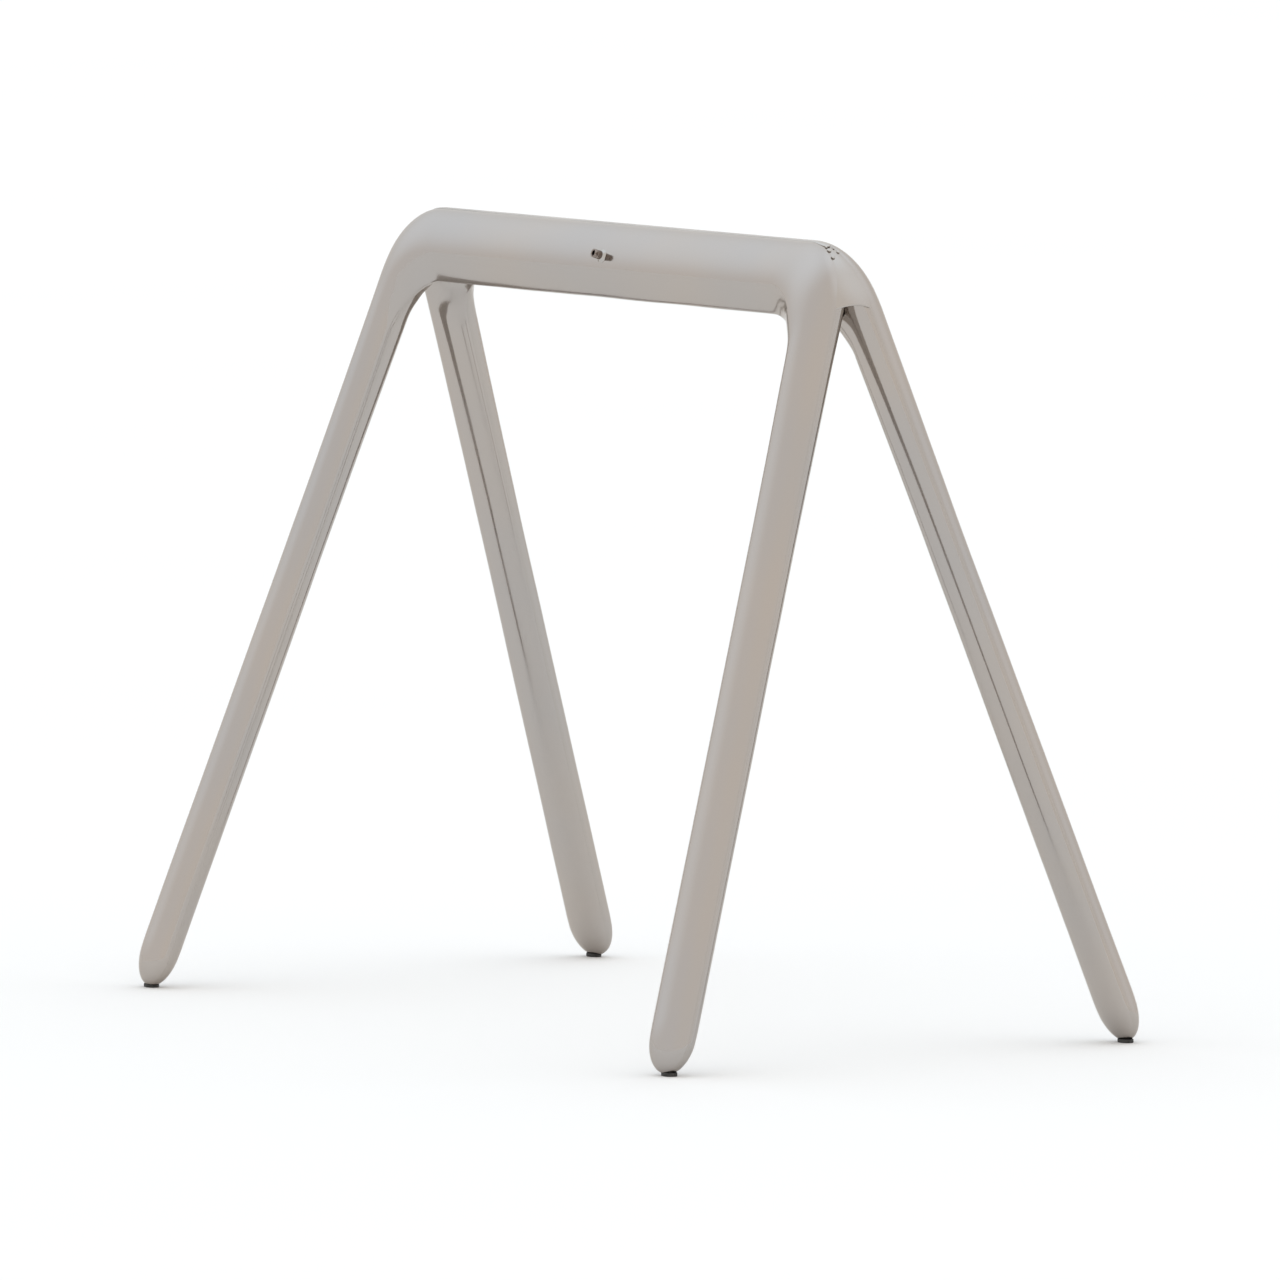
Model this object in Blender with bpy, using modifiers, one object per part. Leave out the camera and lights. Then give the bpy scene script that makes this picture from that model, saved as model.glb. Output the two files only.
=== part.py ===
"""Sawhorse made of two inflated steel frames.

Each frame is an upside-down U cut twice from thin sheet. The two sheets are welded together round their
edge and inflated through a valve, so that beam and legs swell into one oval tube. The frames lean on each
other along the ridge and are welded together there and under the beam, where their inner sheets press flat.
A bowed web closes the notch between the frames at each end.
X runs along the beam, Y from front to rear, Z up, and the floor is at Z = 0.
"""

import bmesh
import bpy
from math import acos, atan, cos, pi, radians, sin, sqrt, tan
from mathutils import Matrix, Vector

# Driving dimensions, in metres unless the name says otherwise.
HEIGHT = 0.720            # floor to the flat top of the ridge weld
FOOT_X = 0.449            # where each leg's axis meets the floor
FOOT_Y = 0.2452
SPLAY = 0.1426            # how far a leg moves along X for each metre of height
BEAM_HALF_WIDTH = 0.0343  # half the tube's width in the plane of its frame
LEG_HALF_WIDTH = 0.0226   # at the top of a leg
FOOT_HALF_WIDTH = 0.0252  # at the foot
LEG_LENGTH = 0.6823       # over which the leg widens to the foot
OUTER_RADIUS = 0.0620     # corner of the outline's outer edge
INNER_RADIUS = 0.0580     # corner of the outline's inner edge
DOME_LENGTH = 0.0294      # round end of the foot
BEAM_BULGE = (0.0180, 0.0200)   # swell of the outer and the inner sheet
LEG_BULGE = (0.0166, 0.0160)
KNEE_SWELL = 0.0024       # extra swell at the top of a leg
KNEE_LENGTH = 0.250       # over which it runs out down the leg
CORNER_SWELL = 0.0027     # extra swell halfway round a corner
FOOT_TAPER = 0.042        # length over which the swell runs out at the foot
BULGE_POWER = 0.56        # shape of the section: 0.5 is an ellipse, 1 a lens
UNDER_POWER = 0.88        # the same at the beam's lower edge, which is drawn out sharper
LEG_TWIST = radians(4.0)  # legs turn their outer edge in towards the other frame
SHEET = 0.0010            # sheet thickness
GAP = 0.0003              # clearance between touching solids
PATCH_GAP = 0.0002        # from the middle plane to each pressed inner sheet
BEAD_RADIUS = 0.00105     # edge weld
SEAM_RADIUS = 0.0009      # weld under the beam, between the two frames
SEAM_LEVEL = 0.0020       # how far apart the inner sheets are, from the middle, beside that weld
RIDGE_WIDTH = 0.0056      # flat ground top of the ridge weld
RIDGE_THICKNESS = 0.0012
RIDGE_ARC = radians(20)   # how far the ridge weld follows the corners
RIDGE_ARC_STEPS = 4
WEB_START = 0.262         # the end webs run from this share of the corner's turn
WEB_END = 1.08            # to this one, which is a little way down the leg
WEB_ARCH = 0.055          # their lower edge arches up by this share
WEB_BOW = 0.20            # how far they bow out, for each metre of half width
WEB_STEPS = 8
GLIDE_LENGTH = 0.0180     # along X
GLIDE_WIDTH = 0.0126      # along Y
GLIDE_DEPTH = 0.0034      # floor to the glide's rim
GLIDE_SET_BACK = 0.0034   # from the end of the leg's outline, towards the other frame
TIP_HEIGHT = 0.0020       # floor to the end of a leg's outline
VALVE_X = 0.0050          # the valves sit a little to the right of the beam's middle
VALVE_OUTER = 0.0040      # radius of the nipple
VALVE_BORE = 0.0025       # radius of its bore
VALVE_REACH = 0.0100      # how far the nipple stands out of the sheet
VALVE_DEPTH = 0.0040      # how far it reaches in
HOLE_REACH = 0.0100       # how far the hole's cutter runs each way from the sheet
COLLAR_RADIUS = 0.0066    # weld round the nipple
COLLAR_HEIGHT = 0.0022    # at the nipple
COLLAR_EDGE = 0.0006      # at its rim
COLLAR_DEPTH = 0.0030     # it is made this deep, and cut back to the sheet
PLUG_LENGTH = 0.0040      # grub screw in the bore
PLUG_DEPTH = 0.0045       # from the nipple's mouth to the plug
SOCKET_RADIUS = 0.0011
SOCKET_DEPTH = 0.0015
RIM = 0.0005              # small bevel on the nipple and the glides

BEAM_STEPS, CORNER_STEPS, LEG_STEPS, DOME_STEPS = 2, 7, 4, 6
FINE_CORNER_STEPS = 28    # sections of a corner that are tried for the weld between the frames
CROSS_STEPS = 8           # facets across a sheet
TRIAL_STEPS = 200         # points of a section that are tried for the weld between the frames
TURNED_SIDES, PLUG_SIDES, GLIDE_SIDES = 20, 12, 24

EDGE_Z = HEIGHT - RIDGE_THICKNESS - GAP      # top of the outline
EDGE_Y = BEAD_RADIUS + 0.00035               # the frame's plane there
LEAN = atan((FOOT_Y - EDGE_Y) / EDGE_Z)
MID_HEIGHT = SHEET + PATCH_GAP               # outer skin above the frame's plane, at the edge
SIDES = {"front": -1, "rear": 1}


# ---------------------------------------------------------------- outline and section of a frame

def leg_direction():
    """Unit vector down the +X leg, and the unit vector away from the middle, in the frame's plane."""
    slope = atan(SPLAY * cos(LEAN))
    return Vector((sin(slope), cos(slope))), Vector((cos(slope), -sin(slope)))


def leg_tip():
    """End of the +X leg's outline, in the frame's plane: along X, and down from the ridge."""
    along, _ = leg_direction()
    floor = Vector((FOOT_X, EDGE_Z / cos(LEAN)))
    return floor - along * (TIP_HEIGHT / cos(LEAN) / along.y)


def leg_side(sign, distance, inset):
    """Point of the leg's outer (sign 1) or inner (-1) edge, at a distance up from its tip."""
    along, away = leg_direction()
    half = FOOT_HALF_WIDTH + (LEG_HALF_WIDTH - FOOT_HALF_WIDTH) * min(1.0, distance / LEG_LENGTH) - inset
    return leg_tip() - along * distance + away * (sign * half)


def corner(sign, depth, radius, inset):
    """The beam's edge at a depth under the ridge turns into the leg's edge: arc's start, centre, turn."""
    low, high = leg_side(sign, 0.0, inset), leg_side(sign, LEG_LENGTH, inset)
    down = (low - high).normalized()
    sharp = low + down * ((depth - low.y) / down.y)
    turn = acos(down.x)
    start = sharp - Vector((radius * tan(turn / 2), 0))
    return start, start + Vector((0, radius)), turn


def on_arc(centre, radius, angle):
    return centre + Vector((sin(angle), -cos(angle))) * radius


def ease(f):
    return f * f * (3 - 2 * f)


def corner_station(inset, share):
    """Section at a share of the +X corner's turn: outer point, inner point, share of leg."""
    _, outer_centre, outer_turn = corner(1, inset, OUTER_RADIUS - inset, inset)
    _, inner_centre, inner_turn = corner(-1, 2 * BEAM_HALF_WIDTH - inset, INNER_RADIUS + inset, inset)
    return (on_arc(outer_centre, OUTER_RADIUS - inset, outer_turn * share),
            on_arc(inner_centre, INNER_RADIUS + inset, inner_turn * share), ease(share))


def half_stations(inset, corner_steps=CORNER_STEPS):
    """Sections from the beam's middle to the +X foot: outer point, inner point, share of leg."""
    outer, inner, _ = corner_station(inset, 0.0)
    outer_top, inner_top, _ = corner_station(inset, 1.0)
    stations = []
    for k in range(BEAM_STEPS):
        f = k / BEAM_STEPS
        stations.append((Vector((outer.x * f, outer.y)), Vector((inner.x * f, inner.y)), 0.0))
    stations += [corner_station(inset, k / corner_steps) for k in range(corner_steps)]
    for k in range(LEG_STEPS):
        f = k / LEG_STEPS
        stations.append((outer_top.lerp(leg_side(1, DOME_LENGTH, inset), f),
                         inner_top.lerp(leg_side(-1, DOME_LENGTH, inset), f), 1.0))
    along, away = leg_direction()
    for k in range(DOME_STEPS + 1):
        angle = pi / 2 * k / DOME_STEPS
        middle = leg_tip() - along * (DOME_LENGTH - (DOME_LENGTH - inset) * sin(angle))
        half = away * ((FOOT_HALF_WIDTH - inset) * cos(angle))
        stations.append((middle + half, middle - half, 1.0))
    return stations


def all_stations(inset):
    """Sections from the -X foot over the beam to the +X foot."""
    half = half_stations(inset)
    mirrored = [(Vector((-o.x, o.y)), Vector((-i.x, i.y)), leg) for o, i, leg in half[:0:-1]]
    return mirrored + half


def place(side, flat, height):
    """World point at a place in a frame's plane and a height outwards from it."""
    y = EDGE_Y + flat.y * sin(LEAN) + height * cos(LEAN)
    z = EDGE_Z - flat.y * cos(LEAN) + height * sin(LEAN)
    return Vector((flat.x, side * max(y, PATCH_GAP), z))


def height_up_leg(station):
    """Distance of a section's middle from the tip of the foot, along the leg."""
    outer, inner, _ = station
    along, _ = leg_direction()
    middle = (outer + inner) / 2
    return (leg_tip() - Vector((abs(middle.x), middle.y))).dot(along)


def full_swell(station, sheet):
    """Swell of a sheet at the crest of a section."""
    leg = station[2]
    up = height_up_leg(station)
    knee = max(0.0, 1 - max(0.0, LEG_LENGTH - up) / KNEE_LENGTH) ** 2
    swell = BEAM_BULGE[sheet] + (LEG_BULGE[sheet] - BEAM_BULGE[sheet]) * leg
    extra = KNEE_SWELL * leg * knee + CORNER_SWELL * 4 * leg * (1 - leg)
    left = 1 - max(0.0, min(1.0, up / FOOT_TAPER))
    return (swell + extra) * sqrt(1 - left * left)


def skin(side, station, across, sheet, lift=0.0):
    """World point of a sheet's visible skin. across runs from -1 at the outer edge to 1 at the inner."""
    outer, inner, leg = station
    half = (inner - outer).length / 2
    power = BULGE_POWER + (UNDER_POWER - BULGE_POWER) * (1 - leg) * ease((1 + across) / 2)
    swell = full_swell(station, sheet) * max(0.0, 1 - across * across) ** power
    twist = across * half * tan(LEG_TWIST) * leg
    away = (MID_HEIGHT + lift + swell) * (1 if sheet == 0 else -1)
    return place(side, outer.lerp(inner, (across + 1) / 2), twist + away)


# ---------------------------------------------------------------- meshes

def clear_scene():
    for old in list(bpy.data.objects):
        bpy.data.objects.remove(old, do_unlink=True)


def new_collection(name):
    collection = bpy.data.collections.new(name)
    bpy.context.scene.collection.children.link(collection)
    return collection


def new_material(name, colour, metallic, roughness):
    material = bpy.data.materials.new(name)
    material.use_nodes = True
    shader = material.node_tree.nodes["Principled BSDF"]
    shader.inputs["Base Color"].default_value = (*colour, 1)
    shader.inputs["Metallic"].default_value = metallic
    shader.inputs["Roughness"].default_value = roughness
    return material


def add_object(name, bm, collection, material=None):
    mesh = bpy.data.meshes.new(name)
    bmesh.ops.recalc_face_normals(bm, faces=bm.faces)
    bm.to_mesh(mesh)
    bm.free()
    mesh.shade_smooth()
    obj = bpy.data.objects.new(name, mesh)
    collection.objects.link(obj)
    if material:
        mesh.materials.append(material)
    return obj


def loft(rows, closed_rows):
    """Mesh through rows of points. The first and the last row are single points, the feet's tips."""
    bm = bmesh.new()
    rings = [[bm.verts.new(p) for p in row] for row in rows]
    for a, b in zip(rings, rings[1:]):
        count = max(len(a), len(b))
        for k in range(count if closed_rows else count - 1):
            n = (k + 1) % count
            corners = [a[k % len(a)], a[n % len(a)], b[n % len(b)], b[k % len(b)]]
            bm.faces.new(list(dict.fromkeys(corners)))
    return bm


def across_values():
    return [-cos(pi * k / CROSS_STEPS) for k in range(CROSS_STEPS + 1)]


def sheet_object(name, side, sheet, collection, material):
    """One of a frame's two sheets: its visible skin, thickened inwards."""
    stations = all_stations(2 * BEAD_RADIUS + GAP)
    rows = [[skin(side, s, a, sheet) for a in across_values()] for s in stations[1:-1]]
    tips = [[skin(side, s, 0, sheet)] for s in (stations[0], stations[-1])]
    bm = loft([tips[0]] + rows + [tips[1]], False)
    obj = add_object(name, bm, collection, material)
    away = Vector((0, side * cos(LEAN), sin(LEAN))) * (1 if sheet == 0 else -1)
    middle = obj.data.polygons[len(obj.data.polygons) // 2]
    solid = obj.modifiers.new("thickness", "SOLIDIFY")
    solid.thickness = SHEET
    solid.offset = -1 if middle.normal.dot(away) > 0 else 1
    return obj


def tube_cutter(name, side, collection):
    """The whole inflated frame as one closed body, larger all round by the gap."""
    stations = all_stations(-GAP)
    rows = []
    for s in stations[1:-1]:
        over = [skin(side, s, a, 0, GAP) for a in across_values()]
        under = [skin(side, s, a, 1, GAP) for a in across_values()]
        rows.append(over + under[::-1])
    tips = [[place(side, s[0].lerp(s[1], 0.5), 0)] for s in (stations[0], stations[-1])]
    return hide(add_object(name, loft([tips[0]] + rows + [tips[1]], True), collection))


def hide(obj):
    obj.hide_render = True
    obj.display_type = "WIRE"
    return obj


def wire(name, points, radius, cyclic, collection, material):
    """Weld bead: a round rod along a line of points."""
    curve = bpy.data.curves.new(name, "CURVE")
    curve.dimensions = "3D"
    curve.bevel_depth = radius
    curve.bevel_resolution = 1
    curve.use_fill_caps = not cyclic
    spline = curve.splines.new("POLY")
    spline.points.add(len(points) - 1)
    for point, p in zip(spline.points, points):
        point.co = (*p, 1)
    spline.use_cyclic_u = cyclic
    curve.materials.append(material)
    obj = bpy.data.objects.new(name, curve)
    collection.objects.link(obj)
    return obj


def edge_point(side, station, across):
    """World point of the outline at a section's outer (across -1) or inner (1) edge."""
    outer, inner, leg = station
    half = (inner - outer).length / 2
    return place(side, outer if across < 0 else inner, across * half * tan(LEG_TWIST) * leg)


def edge_weld(name, side, collection, material):
    """Bead round a frame's whole outline, where its two sheets meet."""
    stations = all_stations(BEAD_RADIUS)
    there = [edge_point(side, s, -1) for s in stations]
    back = [edge_point(side, s, 1) for s in stations[1:-1]]
    return wire(name, there + back[::-1], BEAD_RADIUS, True, collection, material)


def web_point(down, across):
    """Point of the +X end web's outer face. down runs from 0 to 1, across from -1 at the front to 1."""
    round_off = 1 - across * across
    share = WEB_START + (WEB_END - WEB_ARCH * round_off - WEB_START) * down
    _, _, turn = corner(1, 0.0, OUTER_RADIUS, 0.0)
    on_corner = min(1.0, share)
    edge = edge_point(1, corner_station(0.0, on_corner), -1)
    fall = place(1, leg_side(1, 0.0, 0.0), 0) - place(1, leg_side(1, LEG_LENGTH, 0.0), 0)
    edge += fall.normalized() * (OUTER_RADIUS * turn * (share - on_corner))
    half = edge.y - BEAD_RADIUS - GAP
    out = Vector((sin(turn * on_corner), 0, cos(turn * on_corner)))
    return Vector((edge.x, half * across, edge.z)) + out * (WEB_BOW * half * round_off)


def end_web(name, x_sign, collection, material):
    """Thin bowed plate between the two frames' outer edges at one end, down to an arched lower edge."""
    rows = []
    for i in range(WEB_STEPS + 1):
        row = [web_point(i / WEB_STEPS, 2 * k / CROSS_STEPS - 1) for k in range(CROSS_STEPS + 1)]
        rows.append([Vector((p.x * x_sign, p.y, p.z)) for p in row])
    obj = add_object(name, loft(rows, False), collection, material)
    middle = obj.data.polygons[len(obj.data.polygons) // 2]
    solid = obj.modifiers.new("thickness", "SOLIDIFY")
    solid.thickness = SHEET
    solid.offset = -1 if middle.normal.x * x_sign > 0 else 1


def level_crossings(station):
    """Places where the front inner sheet is SEAM_LEVEL from the middle plane, as points on that plane."""
    found = []
    previous = skin(-1, station, -1, 1)
    for k in range(1, TRIAL_STEPS + 1):
        point = skin(-1, station, -cos(pi * k / TRIAL_STEPS), 1)
        if (previous.y + SEAM_LEVEL) * (point.y + SEAM_LEVEL) < 0:
            crossing = previous.lerp(point, (-SEAM_LEVEL - previous.y) / (point.y - previous.y))
            found.append(Vector((crossing.x, 0, crossing.z)))
        previous = point
    return found


def underside_line():
    """Path of the weld along the lower border of the pressed patch, from the middle to the +X corner."""
    stations = half_stations(0.0, FINE_CORNER_STEPS)[:BEAM_STEPS + FINE_CORNER_STEPS]
    crossings = [level_crossings(station) for station in stations]
    return [found[-1] for found in crossings if found]


def ridge_strip(name, collection, material):
    """Weld along the ridge, flat on top, which runs a little way down each corner."""
    start = half_stations(0.0)[BEAM_STEPS][0].x

    def upper_half(lift):
        points = []
        for k in range(RIDGE_ARC_STEPS + 1):
            angle = RIDGE_ARC * k / RIDGE_ARC_STEPS
            flat = on_arc(Vector((start, OUTER_RADIUS)), OUTER_RADIUS, angle)
            points.append((flat.x + lift * sin(angle), EDGE_Z - flat.y * cos(LEAN) + lift * cos(angle)))
        return points

    def mirrored(points):
        return [(-x, z) for x, z in reversed(points)]

    top, under = upper_half(GAP + RIDGE_THICKNESS), upper_half(GAP)
    outline = mirrored(top) + top + under[::-1] + mirrored(under[::-1])
    curve = bpy.data.curves.new(name, "CURVE")
    curve.dimensions = "2D"
    curve.fill_mode = "BOTH"
    curve.extrude = RIDGE_WIDTH / 2
    spline = curve.splines.new("POLY")
    spline.points.add(len(outline) - 1)
    for point, (x, z) in zip(spline.points, outline):
        point.co = (x, z, 0, 1)
    spline.use_cyclic_u = True
    curve.materials.append(material)
    obj = bpy.data.objects.new(name, curve)
    obj.rotation_euler = (pi / 2, 0, 0)
    collection.objects.link(obj)


def subtract(obj, cutter):
    cut = obj.modifiers.new("cut", "BOOLEAN")
    cut.operation = "DIFFERENCE"
    cut.solver = "EXACT"
    cut.object = cutter


def turned(name, profile, matrix, collection, material=None, sides=TURNED_SIDES):
    """Closed profile of (radius, height) points turned round Z, then placed by a matrix."""
    mesh = bpy.data.meshes.new(name)
    loop = [(i, (i + 1) % len(profile)) for i in range(len(profile))]
    if profile[0][0] == 0 and profile[-1][0] == 0:
        loop = loop[:-1]
    mesh.from_pydata([(r, 0, h) for r, h in profile], loop, [])
    obj = bpy.data.objects.new(name, mesh)
    obj.matrix_world = matrix
    collection.objects.link(obj)
    screw = obj.modifiers.new("turn", "SCREW")
    screw.axis = "Z"
    screw.steps = screw.render_steps = sides
    screw.use_merge_vertices = True
    screw.merge_threshold = 0.00001
    screw.use_smooth_shade = True
    if material:
        mesh.materials.append(material)
    return obj


# ---------------------------------------------------------------- pieces

def valve_matrix(side):
    """Frame of the valve: origin on the crest of the beam's outer sheet, Z straight out of the sheet."""
    middle = half_stations(0.0)[0]
    crest = skin(side, middle, 0, 0) + Vector((VALVE_X, 0, 0))
    out = Vector((0, side * cos(LEAN), sin(LEAN)))
    turn = out.to_track_quat("Z", "X").to_matrix().to_4x4()
    return Matrix.Translation(crest) @ turn


def valve_pieces(word, side, tube, sheet, parts, cutters, steel):
    matrix = valve_matrix(side)
    hole_radius = VALVE_OUTER + GAP
    hole = hide(turned(word + "_valve_hole",
                       [(0, HOLE_REACH), (hole_radius, HOLE_REACH), (hole_radius, -HOLE_REACH),
                        (0, -HOLE_REACH)], matrix, cutters))
    subtract(sheet, hole)
    turned(word + "_valve_nipple",
           [(VALVE_BORE, VALVE_REACH), (VALVE_OUTER - RIM, VALVE_REACH), (VALVE_OUTER, VALVE_REACH - RIM),
            (VALVE_OUTER, -VALVE_DEPTH), (VALVE_BORE, -VALVE_DEPTH)], matrix, parts, steel)
    collar = turned(word + "_valve_weld",
                    [(hole_radius, COLLAR_HEIGHT), (hole_radius + GAP, COLLAR_HEIGHT),
                     (COLLAR_RADIUS, COLLAR_EDGE), (COLLAR_RADIUS, -COLLAR_DEPTH),
                     (hole_radius, -COLLAR_DEPTH)], matrix, parts, steel)
    subtract(collar, tube)
    top = VALVE_REACH - PLUG_DEPTH
    radius = VALVE_BORE - GAP
    turned(word + "_valve_plug",
           [(0, top - SOCKET_DEPTH), (SOCKET_RADIUS, top - SOCKET_DEPTH), (SOCKET_RADIUS, top),
            (radius, top), (radius, top - PLUG_LENGTH), (0, top - PLUG_LENGTH)],
           matrix, parts, steel, sides=PLUG_SIDES)


def glide(name, x_sign, side, tube, parts, rubber):
    """Thin oval pad under the tip of a foot: flat on the floor, dished where the tip sits in it."""
    tip = place(side, leg_tip(), 0)
    centre = Vector((x_sign * tip.x, tip.y - side * GLIDE_SET_BACK, 0))
    radius = GLIDE_LENGTH / 2
    profile = [(0, GLIDE_DEPTH), (radius - RIM, GLIDE_DEPTH), (radius, GLIDE_DEPTH - RIM),
               (radius, RIM), (radius - RIM, 0), (0, 0)]
    oval = Matrix.Diagonal((1, GLIDE_WIDTH / GLIDE_LENGTH, 1, 1))
    pad = turned(name, profile, Matrix.Translation(centre) @ oval, parts, rubber, sides=GLIDE_SIDES)
    subtract(pad, tube)


def build():
    clear_scene()
    parts = new_collection("sawhorse")
    cutters = new_collection("cutters")
    steel = new_material("polished_steel", (0.60, 0.57, 0.54), 1.0, 0.12)
    weld = new_material("weld_bead", (0.55, 0.53, 0.51), 1.0, 0.25)
    rubber = new_material("dark_rubber", (0.03, 0.03, 0.03), 0.0, 0.6)

    for word, side in SIDES.items():
        tube = tube_cutter(word + "_tube", side, cutters)
        outer = sheet_object(word + "_outer_sheet", side, 0, parts, steel)
        sheet_object(word + "_inner_sheet", side, 1, parts, steel)
        edge_weld(word + "_edge_weld", side, parts, weld)
        valve_pieces(word, side, tube, outer, parts, cutters, steel)
        for hand, x_sign in (("left", -1), ("right", 1)):
            glide(f"{word}_{hand}_glide", x_sign, side, tube, parts, rubber)

    ridge_strip("ridge_weld", parts, weld)
    for hand, x_sign in (("left", -1), ("right", 1)):
        end_web(f"{hand}_end_web", x_sign, parts, steel)
    line = underside_line()
    whole = [(-p.x, 0, p.z) for p in line[:0:-1]] + [tuple(p) for p in line]
    wire("underside_weld", whole, SEAM_RADIUS, False, parts, weld)


build()
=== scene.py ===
"""Looks of a sawhorse made of two inflated, polished steel frames that lean together.

The sheets, welds, valves and glides are built again here as fine meshes, by the same rules as the CAD
model, with the shallow waves, creases and weld beads that inflated sheet steel has.
"""

from math import acos, atan, copysign, cos, exp, log, pi, radians, sin, sqrt, tan

import bmesh
import bpy
from mathutils import Matrix, Vector, noise
from mathutils.bvhtree import BVHTree


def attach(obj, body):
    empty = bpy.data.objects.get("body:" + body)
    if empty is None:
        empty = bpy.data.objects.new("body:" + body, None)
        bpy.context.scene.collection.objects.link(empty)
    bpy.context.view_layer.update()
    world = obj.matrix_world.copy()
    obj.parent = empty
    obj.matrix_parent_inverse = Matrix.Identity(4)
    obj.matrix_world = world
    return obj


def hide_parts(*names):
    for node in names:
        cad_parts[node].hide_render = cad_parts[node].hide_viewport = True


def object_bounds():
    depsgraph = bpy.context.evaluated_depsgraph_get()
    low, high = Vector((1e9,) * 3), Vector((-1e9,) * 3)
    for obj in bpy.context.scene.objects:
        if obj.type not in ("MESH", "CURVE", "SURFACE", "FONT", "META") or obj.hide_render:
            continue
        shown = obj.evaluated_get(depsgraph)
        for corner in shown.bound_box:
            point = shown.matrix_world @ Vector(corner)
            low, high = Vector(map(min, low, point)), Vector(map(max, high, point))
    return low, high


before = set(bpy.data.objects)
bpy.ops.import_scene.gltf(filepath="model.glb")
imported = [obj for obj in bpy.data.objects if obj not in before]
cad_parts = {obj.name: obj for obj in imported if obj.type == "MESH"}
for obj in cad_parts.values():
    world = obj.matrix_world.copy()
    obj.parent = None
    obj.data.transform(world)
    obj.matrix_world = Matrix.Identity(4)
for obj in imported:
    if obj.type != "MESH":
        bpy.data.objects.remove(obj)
CAD_LOW, CAD_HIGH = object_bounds()

# Driving dimensions, in metres unless the name says otherwise. They are the CAD model's.
HEIGHT = CAD_HIGH.z
FOOT_X = 0.449            # where each leg's axis meets the floor
FOOT_Y = 0.2452
SPLAY = 0.1426            # how far a leg moves along X for each metre of height
BEAM_HALF_WIDTH = 0.0343  # half the tube's width in the plane of its frame
LEG_HALF_WIDTH = 0.0226   # at the top of a leg
FOOT_HALF_WIDTH = 0.0252  # at the foot
LEG_LENGTH = 0.6823       # over which the leg widens to the foot
OUTER_RADIUS = 0.0620     # corner of the outline's outer edge
INNER_RADIUS = 0.0580     # corner of the outline's inner edge
DOME_LENGTH = 0.0294      # round end of the foot
BEAM_BULGE = (0.0180, 0.0200)   # swell of the outer and the inner sheet
LEG_BULGE = (0.0166, 0.0160)
KNEE_SWELL = 0.0024       # extra swell at the top of a leg
KNEE_LENGTH = 0.250       # over which it runs out down the leg
CORNER_SWELL = 0.0027     # extra swell halfway round a corner
FOOT_TAPER = 0.042        # length over which the swell runs out at the foot
BULGE_POWER = 0.56        # shape of the section: 0.5 is an ellipse, 1 a lens
UNDER_POWER = 0.88        # the same at the beam's lower edge, which is drawn out sharper
LEG_TWIST = radians(4.0)  # legs turn their outer edge in towards the other frame
SHEET = 0.0010            # sheet thickness
GAP = 0.0003
PATCH_GAP = 0.0002        # from the middle plane to each pressed inner sheet
BEAD_RADIUS = 0.00105     # edge weld in the CAD model
BEAD_CLEARANCE = 0.00035  # from the middle plane to that weld, at the ridge
SEAM_LEVEL = 0.0020       # how far each inner sheet is from the middle plane at the weld under the beam
RIDGE_THICKNESS = 0.0012
RIDGE_ARC = radians(20)   # how far the ridge weld follows the corners
WEB_START = 0.262         # the end webs run from this share of the corner's turn
WEB_END = 1.08            # to this one, which is a little way down the leg
WEB_ARCH = 0.055          # their lower edge arches up by this share
WEB_BOW = 0.20            # how far they bow out, for each metre of half width
GLIDE_LENGTH = 0.0180     # along X
GLIDE_WIDTH = 0.0126      # along Y
GLIDE_DEPTH = 0.0034      # floor to the glide's rim
GLIDE_SET_BACK = 0.0034   # from the end of the leg's outline, towards the other frame
TIP_HEIGHT = 0.0020       # floor to the end of a leg's outline
VALVE_X = 0.0050          # from the beam's middle
VALVE_OUTER = 0.0040      # radii of the nipple and its bore
VALVE_BORE = 0.0025
VALVE_REACH = 0.0100      # how far the nipple stands out of the sheet's crest
VALVE_DEPTH = 0.0040      # how far it goes in
COLLAR_RADIUS = 0.0066    # the weld round the nipple
COLLAR_HEIGHT = 0.0022
PLUG_LENGTH = 0.0040
PLUG_DEPTH = 0.0045       # from the nipple's mouth to the plug

# Fineness of the meshes, and the marks of inflating, welding and polishing.
BEAM_STEPS, CORNER_STEPS, LEG_STEPS, DOME_STEPS = 50, 26, 100, 14
CROSS_STEPS = 40          # across a sheet or a web
RING_STEPS = 14           # round a bead
WEB_STEPS = 40            # down a web
TRIAL_STEPS = 240         # across a sheet, to find where the underside weld runs
TURNED_STEPS = 64         # round a turned piece
GLIDE_STEPS = 56          # round a glide
TIP_SIZE = 0.05           # a bead's section smaller than this share of its full size becomes a point
SHARP_ANGLE = radians(50)           # between faces that are not shaded as one, on sheets and glides
TURNED_SHARP_ANGLE = radians(35)    # and on turned pieces
MERGE_DISTANCE = 1e-6     # joins the points of a turned piece that meet on its axis
FACET_SAG = 0.0003        # how far inside the curves the CAD model's facets lie
SETTLE = 0.0008           # distance over which the pressed sheets leave the middle plane
NOISE_GAIN = 1.6          # brings the noise nearer to the ends of its range
WAVES = ((0.110, 0.00040), (0.045, 0.00012))   # wavelength and depth of shallow waves in the sheets
EDGE_WAVE = (0.075, 0.0006)                    # wavelength and depth of waves in the outline
CREASE_LENGTH = 0.030
CREASE_WIDTH = 0.0045
CREASES = {               # share of the corner's turn, and depth, for each frame and end
    ("front", 1): ((0.40, 0.0022), (0.72, 0.0010)),
    ("front", -1): ((0.55, 0.0018), (0.25, 0.0008)),
    ("rear", 1): ((0.50, 0.0020), (0.80, 0.0008)),
    ("rear", -1): ((0.45, 0.0018), (0.70, 0.0010)),
}
EDGE_INSET = 0.00012      # from the outline to the sheets' edges, where the ground edge weld fills the gap
EDGE_WIDTH = 0.00122      # half width of the edge weld
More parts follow.
